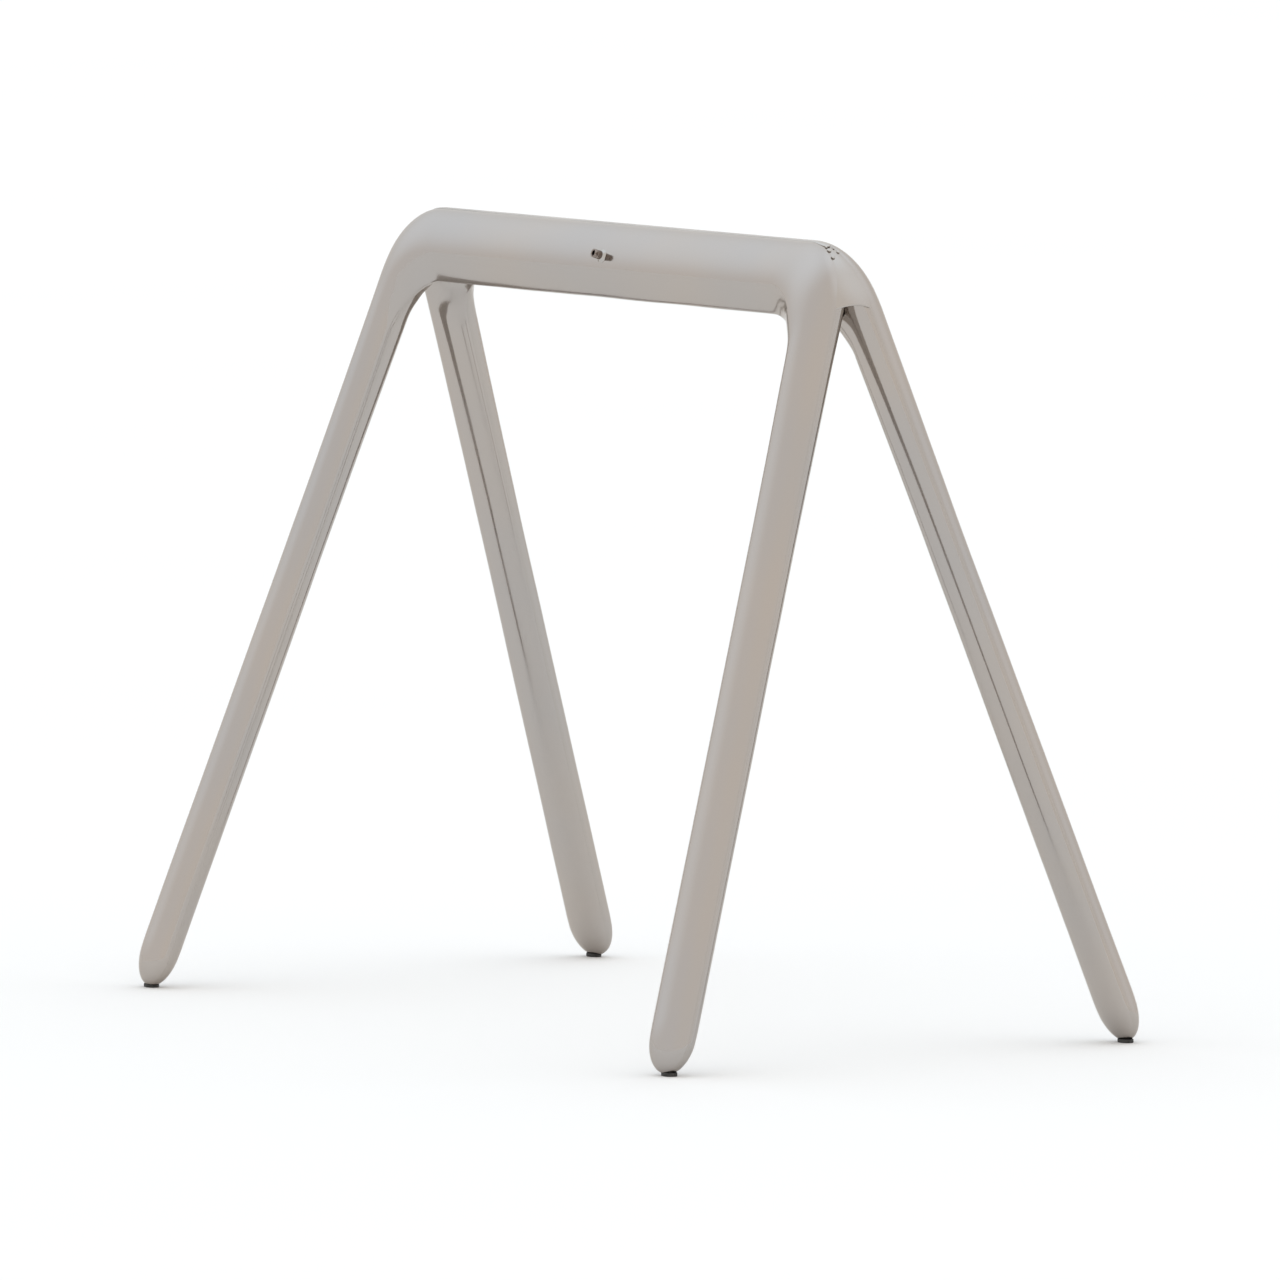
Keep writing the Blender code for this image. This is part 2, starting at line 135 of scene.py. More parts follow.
EDGE_SQUARENESS = 0.6     # power of the edge weld's section: 1 is an oval, less is squarer
SEAM_WIDTH = 0.0022       # half width of the weld under the beam
SEAM_RISE = 0.0010        # its half height
SEAM_STEP = 0.003         # between its sections
SEAM_WOBBLE = 0.1         # share by which its thickness varies
WOBBLE_LENGTH = 0.006     # wavelength of that
BEAD_END = 0.004          # over which an open bead's ends are rounded off
WEB_LAP = 0.0056          # how far the webs run over the outer sheets' edges
WEB_SINK = 0.0013         # how far in from the outline they meet those sheets
WEB_TUCK = 0.0016         # how far the ends of the lower edge are tucked into them
RIDGE_FLAT = 0.0026       # half width of the ridge weld's ground top
RIDGE_SPREAD = 0.0056     # half width where it meets the sheets
RIDGE_DROP = 0.0010       # from the top down to where it meets them
RIDGE_SHOULDER = ((0.72, -0.22), (0.92, -0.62), (1.0, -1.0))   # points between, in shares of these two
RIDGE_ROOT = -1.6         # depth of the weld's middle, in shares of the drop
RIDGE_STEPS = (120, 20)   # along half of the beam, and round the corner
RIDGE_END_STEPS = 8       # the last of these, over which the weld runs out
RIDGE_END_SINK = 0.7      # share of the drop by which its end sinks in
RIDGE_RIPPLE = (0.012, 0.92, 0.16)   # wavelength, mean and swing of the half width's share
RIDGE_DENTS = (0.004, 0.00004)       # wavelength and depth of dents in the ground top
SCALE_TURNS = {"front": (21, 27, 37), "rear": (24, 30)}   # degrees round the corner, of the last weld scales
SCALE_SIZE = (0.0021, 0.0018, 0.0012)          # along, across and out of the ridge
SCALE_SPREAD = (0.003, 0.8, 0.7)     # wavelength, mean and swing of each scale's size
SCALE_STEPS = (24, 12)    # round a scale, and from end to end
SCALE_LIFT = 0.0007       # of a scale's middle over the outline
DRILL_REACH = 0.01        # of the valve's drill, each way from the sheet's crest
NIPPLE_LIP = 0.0005       # bevel round the nipple's mouth
NIPPLE_BEVEL = 0.3        # share of that by which the bevel's middle is set back
GROOVE = (0.0026, 0.0029, 0.0037, 0.0040)      # groove round the nipple: its edges' depths under the mouth
GROOVE_DEPTH = 0.00022    # how far the groove is cut into the nipple
FILLET = ((0.0004, 0.0002), (0.0010, 0.0009), (0.0018, 0.0015))   # valve weld: out, and down from the top
FILLET_TOE = 0.0004       # how far under the sheet's crest the valve weld is widest
FILLET_ROOT = 0.0012      # how far down it goes
FILLET_UNDERCUT = 0.0002  # how far its foot is drawn in
FILLET_RIPPLE = 0.035     # share by which its radius varies
RIPPLES = 9               # round the nipple
PLUG_GAP = 0.0001         # between the plug and the bore
PLUG_BEVEL = 0.0003
SOCKET_RADIUS = 0.0012    # of the screw, with its floor a little narrower
SOCKET_FLOOR_RADIUS = 0.0011
SOCKET_DEPTH = 0.0015
SOCKET_WALL = 0.0013      # depth of the socket's straight wall, down to where its floor dips
GLIDE_RIM = 0.0007        # height of the glide's rounded edges
GLIDE_ROUNDING = 0.07     # their width, in shares of the radius
GLIDE_RINGS = (8, 12)     # over its underside and over its dished top
GLIDE_PROBE = 0.01        # how far under the glide the search for the foot starts
GLIDE_GAP = 0.00005       # between the glide and the foot

EDGE_Z = HEIGHT - RIDGE_THICKNESS - GAP      # top of the outline
EDGE_Y = BEAD_RADIUS + BEAD_CLEARANCE        # the frame's plane there
LEAN = atan((FOOT_Y - EDGE_Y) / EDGE_Z)
MID_HEIGHT = SHEET + PATCH_GAP               # outer skin above the frame's plane, at the edge
SIDES = {"front": -1, "rear": 1}
ENDS = {"left": -1, "right": 1}
SHEETS = {"outer": 0, "inner": 1}


# ---------------------------------------------------------------- outline of a frame, in its plane

def leg_direction():
    """Unit vector down the +X leg, and the unit vector away from the middle, in the frame's plane."""
    slope = atan(SPLAY * cos(LEAN))
    return Vector((sin(slope), cos(slope))), Vector((cos(slope), -sin(slope)))


LEG_ALONG, LEG_AWAY = leg_direction()
LEG_TIP = Vector((FOOT_X, EDGE_Z / cos(LEAN))) - LEG_ALONG * (TIP_HEIGHT / cos(LEAN) / LEG_ALONG.y)


def leg_side(sign, distance, inset):
    """Point of the leg's outer (sign 1) or inner (-1) edge, at a distance up from its tip."""
    half = FOOT_HALF_WIDTH + (LEG_HALF_WIDTH - FOOT_HALF_WIDTH) * min(1.0, distance / LEG_LENGTH) - inset
    return LEG_TIP - LEG_ALONG * distance + LEG_AWAY * (sign * half)


def corner(sign, depth, radius, inset):
    """The beam's edge at a depth under the ridge turns into the leg's edge: arc's start, centre, turn."""
    low, high = leg_side(sign, 0.0, inset), leg_side(sign, LEG_LENGTH, inset)
    down = (low - high).normalized()
    sharp = low + down * ((depth - low.y) / down.y)
    turn = acos(down.x)
    start = sharp - Vector((radius * tan(turn / 2), 0))
    return start, start + Vector((0, radius)), turn


def on_arc(centre, radius, angle):
    """Point of a circle, at an angle from its top towards +X."""
    return centre + Vector((sin(angle), -cos(angle))) * radius


def ease(f):
    """0 to 1, starting and ending softly."""
    return f * f * (3 - 2 * f)


def outer_corner(inset):
    return corner(1, inset, OUTER_RADIUS - inset, inset)


def inner_corner(inset):
    return corner(-1, 2 * BEAM_HALF_WIDTH - inset, INNER_RADIUS + inset, inset)


def corner_station(inset, share):
    """Section at a share of the +X corner's turn: outer point, inner point, share of leg."""
    _, outer_centre, outer_turn = outer_corner(inset)
    _, inner_centre, inner_turn = inner_corner(inset)
    return (on_arc(outer_centre, OUTER_RADIUS - inset, outer_turn * share),
            on_arc(inner_centre, INNER_RADIUS + inset, inner_turn * share), ease(share))


def half_stations(inset):
    """Sections from the beam's middle to the +X foot: outer point, inner point, share of leg."""
    outer, inner, _ = corner_station(inset, 0.0)
    outer_top, inner_top, _ = corner_station(inset, 1.0)
    stations = []
    for k in range(BEAM_STEPS):
        f = k / BEAM_STEPS
        stations.append((Vector((outer.x * f, outer.y)), Vector((inner.x * f, inner.y)), 0.0))
    stations += [corner_station(inset, k / CORNER_STEPS) for k in range(CORNER_STEPS)]
    for k in range(LEG_STEPS):
        f = k / LEG_STEPS
        stations.append((outer_top.lerp(leg_side(1, DOME_LENGTH, inset), f),
                         inner_top.lerp(leg_side(-1, DOME_LENGTH, inset), f), 1.0))
    for k in range(DOME_STEPS + 1):
        angle = pi / 2 * k / DOME_STEPS
        middle = LEG_TIP - LEG_ALONG * (DOME_LENGTH - (DOME_LENGTH - inset) * sin(angle))
        half = LEG_AWAY * ((FOOT_HALF_WIDTH - inset) * cos(angle))
        stations.append((middle + half, middle - half, 1.0))
    return stations


def dent(spot, wavelength, depth):
    """Noise at a spot, from 0 to the depth."""
    value = noise.noise(spot / wavelength)
    return depth * (0.5 + 0.5 * max(-1.0, min(1.0, NOISE_GAIN * value)))


def edge_wave(side, point):
    """How far the outline is drawn in at a point of it."""
    return dent(Vector((point.x, point.y, side)), *EDGE_WAVE)


def all_stations(side, inset):
    """Sections from the -X foot over the beam to the +X foot, with the outline's waves."""
    half = half_stations(inset)
    mirrored = [(Vector((-o.x, o.y)), Vector((-i.x, i.y)), leg) for o, i, leg in half[:0:-1]]
    stations = []
    for outer, inner, leg in mirrored + half:
        width = (inner - outer).length
        if width > 0:
            inward = (inner - outer) / width
            room = min(1.0, width / FOOT_HALF_WIDTH)
            outer = outer + inward * (edge_wave(side, outer) * leg * room)
            inner = inner - inward * (edge_wave(side, inner) * room)
        stations.append((outer, inner, leg))
    return stations


# ---------------------------------------------------------------- surface of a frame, in the world

def settle(distance):
    """Distance from the middle plane, eased so that a pressed sheet lies PATCH_GAP from it."""
    return PATCH_GAP + SETTLE * log(1 + exp((distance - PATCH_GAP) / SETTLE))


def place(side, flat, height):
    """World point at a place in a frame's plane and a height outwards from it."""
    y = EDGE_Y + flat.y * sin(LEAN) + height * cos(LEAN)
    z = EDGE_Z - flat.y * cos(LEAN) + height * sin(LEAN)
    return Vector((flat.x, side * settle(y), z))


def out_of_frame(side):
    """Unit vector straight out of a frame's plane."""
    return Vector((0, side * cos(LEAN), sin(LEAN)))


def height_up_leg(station):
    """Distance of a section's middle from the tip of the foot, along the leg."""
    outer, inner, _ = station
    middle = (outer + inner) / 2
    return (LEG_TIP - Vector((abs(middle.x), middle.y))).dot(LEG_ALONG)


def foot_share(station):
    """1 along the tube, falling to 0 at the tip of a foot."""
    left = 1 - max(0.0, min(1.0, height_up_leg(station) / FOOT_TAPER))
    return sqrt(1 - left * left)


def full_swell(station, sheet):
    """Swell of a sheet at the crest of a section."""
    leg = station[2]
    knee = max(0.0, 1 - max(0.0, LEG_LENGTH - height_up_leg(station)) / KNEE_LENGTH) ** 2
    swell = BEAM_BULGE[sheet] + (LEG_BULGE[sheet] - BEAM_BULGE[sheet]) * leg
    extra = KNEE_SWELL * leg * knee + CORNER_SWELL * 4 * leg * (1 - leg)
    return (swell + extra) * foot_share(station)


def creases(side, flat):
    """Depth of the short folds that run out from an inner corner, where the sheets had to shorten."""
    word = "front" if side < 0 else "rear"
    _, centre, turn = inner_corner(0.0)
    spot = Vector((abs(flat.x), flat.y)) - centre
    depth = 0.0
    if spot.length < INNER_RADIUS + 2 * CREASE_LENGTH:
        for share, deepest in CREASES[word, 1 if flat.x > 0 else -1]:
            out = on_arc(Vector((0, 0)), 1.0, turn * share)
            reach = (spot.dot(out) - INNER_RADIUS) / CREASE_LENGTH
            aside = (spot - out * spot.dot(out)).length / (CREASE_WIDTH * (1 + max(0.0, reach)))
            if reach < 1:
                depth += deepest * (1 - max(0.0, reach)) ** 2 * exp(-aside * aside)
    return depth


def waves(side, sheet, flat):
    """Depth of the shallow waves that inflating left in a sheet."""
    return sum(dent(Vector((flat.x, flat.y, side * (2 + sheet) + layer)), wavelength, deepest)
               for layer, (wavelength, deepest) in enumerate(WAVES))


def skin(side, station, across, sheet):
    """World point of a sheet's visible skin. across runs from -1 at the outer edge to 1 at the inner."""
    outer, inner, leg = station
    half = (inner - outer).length / 2
    flat = outer.lerp(inner, (across + 1) / 2)
    round_off = max(0.0, 1 - across * across)
    power = BULGE_POWER + (UNDER_POWER - BULGE_POWER) * (1 - leg) * ease((1 + across) / 2)
    swell = full_swell(station, sheet) * round_off ** power
    dents = FACET_SAG + waves(side, sheet, flat) * foot_share(station) + creases(side, flat)
    swell -= dents * sqrt(round_off)
    twist = across * half * tan(LEG_TWIST) * leg
    away = (MID_HEIGHT + swell) * (1 if sheet == 0 else -1)
    return place(side, flat, twist + away)


def edge_point(side, station, across):
    """World point of the outline at a section's outer (across -1) or inner (1) edge."""
    outer, inner, leg = station
    half = (inner - outer).length / 2
    return place(side, outer if across < 0 else inner, across * half * tan(LEG_TWIST) * leg)


def edge_path(side, inset):
    """Closed path round a frame's outline, in the world."""
    stations = all_stations(side, inset)
    there = [edge_point(side, s, -1) for s in stations]
    back = [edge_point(side, s, 1) for s in stations[1:-1]]
    return there + back[::-1]


# ---------------------------------------------------------------- meshes

def add_object(name, bm):
    """Smooth-shaded object of a mesh, linked to the scene."""
    mesh = bpy.data.meshes.new(name)
    bm.to_mesh(mesh)
    bm.free()
    mesh.shade_smooth()
    obj = bpy.data.objects.new(name, mesh)
    bpy.context.scene.collection.objects.link(obj)
    return obj


def loft(rows, closed_rows=False, wrap=False):
    """Mesh through rows of points. A first or last row of one point is a tip."""
    bm = bmesh.new()
    rings = [[bm.verts.new(p) for p in row] for row in rows]
    pairs = list(zip(rings, rings[1:]))
    if wrap:
        pairs.append((rings[-1], rings[0]))
    for a, b in pairs:
        count = max(len(a), len(b))
        for k in range(count if closed_rows else count - 1):
            n = (k + 1) % count
            corners = [a[k % len(a)], a[n % len(a)], b[n % len(b)], b[k % len(b)]]
            bm.faces.new(list(dict.fromkeys(corners)))
    bmesh.ops.recalc_face_normals(bm, faces=bm.faces)
    return bm


def evaluated(obj):
    """Applies an object's modifiers."""
    depsgraph = bpy.context.evaluated_depsgraph_get()
    mesh = bpy.data.meshes.new_from_object(obj.evaluated_get(depsgraph))
    obj.modifiers.clear()
    obj.data = mesh
    return obj


def finish_piece(obj, material, slot, *nodes):
    """Gives a piece its material and its body, and hides the CAD nodes that it stands for. slot is not used.
    """
    obj.data.materials.clear()
    obj.data.materials.append(material)
    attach(obj, "root")
    if nodes:
        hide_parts(*nodes)


def thickened(name, bm, away):
    """Object of a surface turned to face away, given the sheet's thickness behind it."""
    bm.faces.ensure_lookup_table()
    if bm.faces[len(bm.faces) // 2].normal.dot(away) < 0:
        bmesh.ops.reverse_faces(bm, faces=bm.faces)
    obj = add_object(name, bm)
    solid = obj.modifiers.new("thickness", "SOLIDIFY")
    solid.thickness = SHEET
    solid.offset = -1
    return evaluated(obj)


def sheet_object(name, side, sheet):
    """One of a frame's two sheets."""
    stations = all_stations(side, EDGE_INSET)
    across = [-cos(pi * k / CROSS_STEPS) for k in range(CROSS_STEPS + 1)]
    rows = [[skin(side, s, a, sheet) for a in across] for s in stations[1:-1]]
    tips = [[skin(side, s, 0, sheet)] for s in (stations[0], stations[-1])]
    away = out_of_frame(side) * (1 if sheet == 0 else -1)
    obj = thickened(name, loft([tips[0]] + rows + [tips[1]]), away)
    obj.data.set_sharp_from_angle(angle=SHARP_ANGLE)
    return obj


def bead(name, path, width_axis, half_width, half_height, closed=False, wobble=0.0, power=1.0):
    """Rod along a path. Its section is oval, or nearly square at a low power. Open ends are rounded off."""

    def squared(value):
        return copysign(abs(value) ** power, value)

    count = len(path)
    lengths = [0.0]
    for a, b in zip(path, path[1:]):
        lengths.append(lengths[-1] + (b - a).length)
    rows = []
    for i, p in enumerate(path):
        before = path[i - 1] if closed or i > 0 else p
        after = path[(i + 1) % count] if closed or i < count - 1 else p
        normal = (after - before).normalized().cross(width_axis).normalized()
        size = 1.0
        if not closed:
            left = 1 - min(1.0, min(lengths[i], lengths[-1] - lengths[i]) / BEAD_END)
            size = sqrt(max(0.0, 1 - left * left))
        size *= 1 + wobble * noise.noise(p / WOBBLE_LENGTH)
        if size < TIP_SIZE:
            rows.append([p])
        else:
            turns = [2 * pi * k / RING_STEPS for k in range(RING_STEPS)]
            rows.append([p + width_axis * (half_width * size * squared(cos(a)))
                         + normal * (half_height * size * squared(sin(a))) for a in turns])
    return add_object(name, loft(rows, True, closed))


def resampled(path, step):
    """Points every step along a path."""
    points, left = [path[0]], step
    for a, b in zip(path, path[1:]):
        length = (b - a).length
        while length > left:
            a = a.lerp(b, left / length)
            points.append(a)
            length = (b - a).length
            left = step
        left -= length
    return points + [path[-1]]


# ---------------------------------------------------------------- welds between the frames

def level_crossings(station):
    """Places where the front inner sheet is SEAM_LEVEL from the middle plane, as points on that plane."""
    found = []
    previous = skin(-1, station, -1, 1)
    for k in range(1, TRIAL_STEPS + 1):
        point = skin(-1, station, -cos(pi * k / TRIAL_STEPS), 1)
        if (previous.y + SEAM_LEVEL) * (point.y + SEAM_LEVEL) < 0:
            crossing = previous.lerp(point, (-SEAM_LEVEL - previous.y) / (point.y - previous.y))
            found.append(Vector((crossing.x, 0, crossing.z)))
        previous = point
    return found


def underside_line():
    """Path of the weld along the lower border of the pressed patch, from the middle to the +X corner."""
    stations = half_stations(EDGE_INSET)[:BEAM_STEPS + CORNER_STEPS]
    crossings = [level_crossings(station) for station in stations]
    return [found[-1] for found in crossings if found]


def web_point(down, across):
    """Point of the +X end web's outer face. down runs from 0 to 1, across from -1 at the front to 1."""
    round_off = 1 - across * across
    share = WEB_START + (WEB_END - WEB_ARCH * round_off - WEB_START) * down
    on_corner = min(1.0, share)
    turn = outer_corner(0.0)[2] * on_corner
    edge = edge_point(1, corner_station(0.0, on_corner), -1)
    fall = place(1, leg_side(1, 0.0, 0.0), 0) - place(1, leg_side(1, LEG_LENGTH, 0.0), 0)
    edge += fall.normalized() * (OUTER_RADIUS * outer_corner(0.0)[2] * (share - on_corner))
    out = Vector((sin(turn), 0, cos(turn)))
    rise = (WEB_BOW * edge.y + WEB_SINK) * round_off - WEB_SINK - WEB_TUCK * down ** 8 * across ** 4
    return Vector((edge.x, (edge.y + WEB_LAP) * across, edge.z)) + out * rise


def end_web(name, x_sign):
    """Bowed plate that runs smoothly from one frame's outer edge to the other's, down to an arched edge."""
    rows = []
    for i in range(WEB_STEPS + 1):
        row = [web_point(i / WEB_STEPS, -cos(pi * k / CROSS_STEPS)) for k in range(CROSS_STEPS + 1)]
        rows.append([Vector((p.x * x_sign, p.y, p.z)) for p in row])
    return thickened(name, loft(rows), Vector((x_sign, 0, 0)))


def add_scales(bm):
    """Scales that the weld's ends left where the ridge runs into the webs."""
    centre = Vector((outer_corner(0.0)[0].x, OUTER_RADIUS))
    wavelength, mean, swing = SCALE_SPREAD
    for word, turns in SCALE_TURNS.items():
        for turn in turns:
            angle = radians(turn)
            flat = on_arc(centre, OUTER_RADIUS, angle)
            for sign in ENDS.values():
                along = Vector((sign * cos(angle), 0, -sin(angle)))
                out = Vector((sign * sin(angle), 0, cos(angle)))
                axes = Matrix((along, Vector((0, 1, 0)), out)).transposed().to_4x4()
                spot = place(SIDES[word], flat, 0.0) + out * SCALE_LIFT
                spot.x *= sign
                size = mean + swing * noise.noise(spot / wavelength)
                shape = axes @ Matrix.Diagonal((*SCALE_SIZE, 1))
                bmesh.ops.create_uvsphere(bm, u_segments=SCALE_STEPS[0], v_segments=SCALE_STEPS[1],
                                          radius=size, matrix=Matrix.Translation(spot) @ shape)


def ridge_path():
    """Points of the ridge weld's top, from the middle round the +X corner, and the way out at each."""
    straight, bent = RIDGE_STEPS
    start = outer_corner(0.0)[0].x
    centre = Vector((start, OUTER_RADIUS))
    points = [Vector((start * k / straight, 0, HEIGHT)) for k in range(straight)]
    normals = [Vector((0, 0, 1))] * straight
    for k in range(bent + 1):
        angle = RIDGE_ARC * k / bent
        flat = on_arc(centre, OUTER_RADIUS, angle)
        out = Vector((sin(angle), 0, cos(angle)))
        points.append(Vector((flat.x, 0, EDGE_Z - flat.y * cos(LEAN))) + out * (RIDGE_THICKNESS + GAP))
        normals.append(out)
    return points, normals


def ridge_mound():
    """Weld along the ridge: ground flat on top, running into the sheets at its sides and ends."""
    half, normals = ridge_path()
    side = ((RIDGE_FLAT / RIDGE_SPREAD, 0.0), *RIDGE_SHOULDER)
    section = [(-w, h) for w, h in side[::-1]] + [(0.0, 0.0), *side, (0.0, RIDGE_ROOT)]
    ripple_length, mean, swing = RIDGE_RIPPLE
    dent_length, dent_depth = RIDGE_DENTS
    rows = []
    total = len(half) - 1
    for sign, order in ((-1, range(total, 0, -1)), (1, range(total + 1))):
        for i in order:
            left = max(0.0, 1 - (total - i) / RIDGE_END_STEPS)
            size = sqrt(1 - left * left)
            point, out = half[i].copy(), normals[i].copy()
            point.x *= sign
            out.x *= sign
            wide = RIDGE_SPREAD * (mean + swing * noise.noise(point / ripple_length)) * size
            sink = (RIDGE_DROP * RIDGE_END_SINK * (1 - size)
                    + dent_depth * (1 + noise.noise(point / dent_length)))
            if size < TIP_SIZE:
                rows.append([point - out * sink])
            else:
                rows.append([point + Vector((0, w * wide, 0)) + out * (h * RIDGE_DROP - sink)
                             for w, h in section])
    bm = loft(rows, True)
    add_scales(bm)
    return add_object("ridge_weld_bead", bm)


# ---------------------------------------------------------------- valves and glides

def valve_matrix(side):
    """Frame of the valve: origin on the crest of the beam's outer sheet, Z straight out of the sheet."""
    middle = half_stations(0.0)[0]
    crest = skin(side, middle, 0, 0) + Vector((VALVE_X, 0, 0))
    turn = out_of_frame(side).to_track_quat("Z", "X").to_matrix().to_4x4()
    return Matrix.Translation(crest) @ turn


def turned(name, profile, matrix, closed=True, ripple=0.0):
    """Profile of (radius, height) points turned round Z, placed by a matrix. ripple varies the radii."""
    rows = []
    for k in range(TURNED_STEPS):
        angle = 2 * pi * k / TURNED_STEPS
        swell = 1 + ripple * sin(RIPPLES * angle + 2 * sin(2 * angle))
        rows.append([matrix @ Vector((r * swell * cos(angle), r * swell * sin(angle), h))
                     for r, h in profile])
    bm = loft(rows, closed, True)
    bmesh.ops.remove_doubles(bm, verts=bm.verts, dist=MERGE_DISTANCE)
    bmesh.ops.recalc_face_normals(bm, faces=bm.faces)
    obj = add_object(name, bm)
    obj.data.set_sharp_from_angle(angle=TURNED_SHARP_ANGLE)
    return obj


def drill(sheet, matrix):
    """Cuts the valve's hole through a sheet."""
    radius, reach = VALVE_OUTER + GAP, DRILL_REACH
    cutter = turned("hole_cutter", [(0, reach), (radius, reach), (radius, -reach), (0, -reach)], matrix,
                    closed=False)
    cut = sheet.modifiers.new("hole", "BOOLEAN")
    cut.operation = "DIFFERENCE"
    cut.solver = "EXACT"
    cut.object = cutter
    evaluated(sheet)
    bpy.data.objects.remove(cutter, do_unlink=True)
    sheet.data.shade_smooth()
    sheet.data.set_sharp_from_angle(angle=SHARP_ANGLE)


def valve(word, side, materials):
    """Nipple, its weld and the grub screw in its bore."""
    matrix = valve_matrix(side)
    setback = NIPPLE_BEVEL * NIPPLE_LIP
    neck = [(VALVE_OUTER - narrowing, VALVE_REACH - depth)
            for narrowing, depth in zip((0, GROOVE_DEPTH, GROOVE_DEPTH, 0), GROOVE)]
    nipple = turned(f"{word}_valve_body", [
        (VALVE_BORE + NIPPLE_LIP, VALVE_REACH), (VALVE_OUTER - NIPPLE_LIP, VALVE_REACH),
        (VALVE_OUTER - setback, VALVE_REACH - setback), (VALVE_OUTER, VALVE_REACH - NIPPLE_LIP), *neck,
        (VALVE_OUTER, -VALVE_DEPTH), (VALVE_BORE, -VALVE_DEPTH),
        (VALVE_BORE, VALVE_REACH - NIPPLE_LIP)], matrix)
    finish_piece(nipple, materials["valve"], "valve_steel", f"{word}_valve_nipple")
    slope = [(VALVE_OUTER + out, COLLAR_HEIGHT - down) for out, down in FILLET]
    weld = turned(f"{word}_valve_fillet", [
        (VALVE_OUTER - GAP, COLLAR_HEIGHT), *slope, (COLLAR_RADIUS, -FILLET_TOE),
        (COLLAR_RADIUS - FILLET_UNDERCUT, -FILLET_ROOT), (VALVE_OUTER - GAP, -FILLET_ROOT)],
        matrix, ripple=FILLET_RIPPLE)
    finish_piece(weld, materials["weld"], "weld_bead", f"{word}_valve_weld")
    top = VALVE_REACH - PLUG_DEPTH
    radius = VALVE_BORE - PLUG_GAP
    plug = turned(f"{word}_valve_screw", [
        (0, top - SOCKET_DEPTH), (SOCKET_FLOOR_RADIUS, top - SOCKET_WALL), (SOCKET_RADIUS, top),
        (radius - PLUG_BEVEL, top), (radius, top - PLUG_BEVEL), (radius, top - PLUG_LENGTH),
        (0, top - PLUG_LENGTH)], matrix, closed=False)
    finish_piece(plug, materials["plug"], "plug_steel", f"{word}_valve_plug")


def glide_rings():
    """Share of the radius and height of each ring, from the underside's middle to the top's."""
    under, over = GLIDE_RINGS
    turns = [radians(d) for d in (0, 30, 60, 90)]
    rings = [(f / under, 0.0) for f in range(under)]
    rings += [(1 - GLIDE_ROUNDING * (1 - sin(a)), GLIDE_RIM * (1 - cos(a))) for a in turns]
    rings += [(1 - GLIDE_ROUNDING * (1 - cos(a)), GLIDE_DEPTH - GLIDE_RIM * (1 - sin(a))) for a in turns]
    return rings + [(f / over, GLIDE_DEPTH) for f in range(over - 1, -1, -1)]


def glide(name, x_sign, side, foot_tree, material, node):
    """Thin oval pad: flat on the floor, dished where the tip of the foot sits in it."""
    tip = place(side, LEG_TIP, 0)
    centre = Vector((x_sign * tip.x, tip.y - side * GLIDE_SET_BACK, 0))
    rows = []
    for radius, height in glide_rings():
        sides = 1 if radius == 0 else GLIDE_STEPS
        row = []
        for k in range(sides):
            angle = 2 * pi * k / sides
            point = centre + Vector((radius * GLIDE_LENGTH / 2 * cos(angle),
                                     radius * GLIDE_WIDTH / 2 * sin(angle), 0))
            hit = foot_tree.ray_cast(point - Vector((0, 0, GLIDE_PROBE)), Vector((0, 0, 1)))[0]
            point.z = min(height, hit.z - GLIDE_GAP) if hit and height > GLIDE_RIM else height
            row.append(point)
        rows.append(row)
    obj = add_object(name, loft(rows, True))
    obj.data.set_sharp_from_angle(angle=SHARP_ANGLE)
    finish_piece(obj, material, "dark_rubber", node)


# ---------------------------------------------------------------- materials

EDGE_TINT = (0.8, 0.8 * 0.96, 0.8 * 0.92, 1)   # of steel seen at a glancing angle


def new_material(name):
    material = bpy.data.materials.new(name)
    material.use_nodes = True
    return material, material.node_tree, material.node_tree.nodes["Principled BSDF"]


def add_node(tree, kind, values=(), **settings):
    """New node with its inputs' values and its settings."""
    node = tree.nodes.new(kind)
    for name, value in settings.items():
        setattr(node, name, value)
    for name, value in dict(values).items():
        node.inputs[name].default_value = value
    return node


def noise_field(tree, coordinates, scale, detail=2.0, roughness=0.5):
    """Noise over the object. scale is in cycles a metre."""
    field = add_node(tree, "ShaderNodeTexNoise", {"Scale": scale, "Detail": detail, "Roughness": roughness})
    tree.links.new(coordinates, field.inputs["Vector"])
    return field.outputs["Fac"]


def spread(tree, value, low, high, to_low, to_high):
    """Maps a field's range from low to high onto the one from to_low to to_high."""
    node = add_node(tree, "ShaderNodeMapRange", {"From Min": low, "From Max": high,
                                                 "To Min": to_low, "To Max": to_high})
    tree.links.new(value, node.inputs["Value"])
    return node.outputs["Result"]


def blend_colours(tree, share, first, second):
    """Mixes two colours by a field that runs from 0 to 1."""
    node = add_node(tree, "ShaderNodeMix", data_type="RGBA")
    tree.links.new(share, node.inputs["Factor"])
    for socket, colour in zip([s for s in node.inputs if s.type == "RGBA"], (first, second)):
        socket.default_value = (*colour, 1)
    return [s for s in node.outputs if s.type == "RGBA"][0]


def bump(tree, shader, field, depth):
    """Gives a shader a field's relief, with its depth in metres."""
    node = add_node(tree, "ShaderNodeBump", {"Distance": depth, "Strength": 1.0})
    tree.links.new(field, node.inputs["Height"])
    tree.links.new(node.outputs["Normal"], shader.inputs["Normal"])


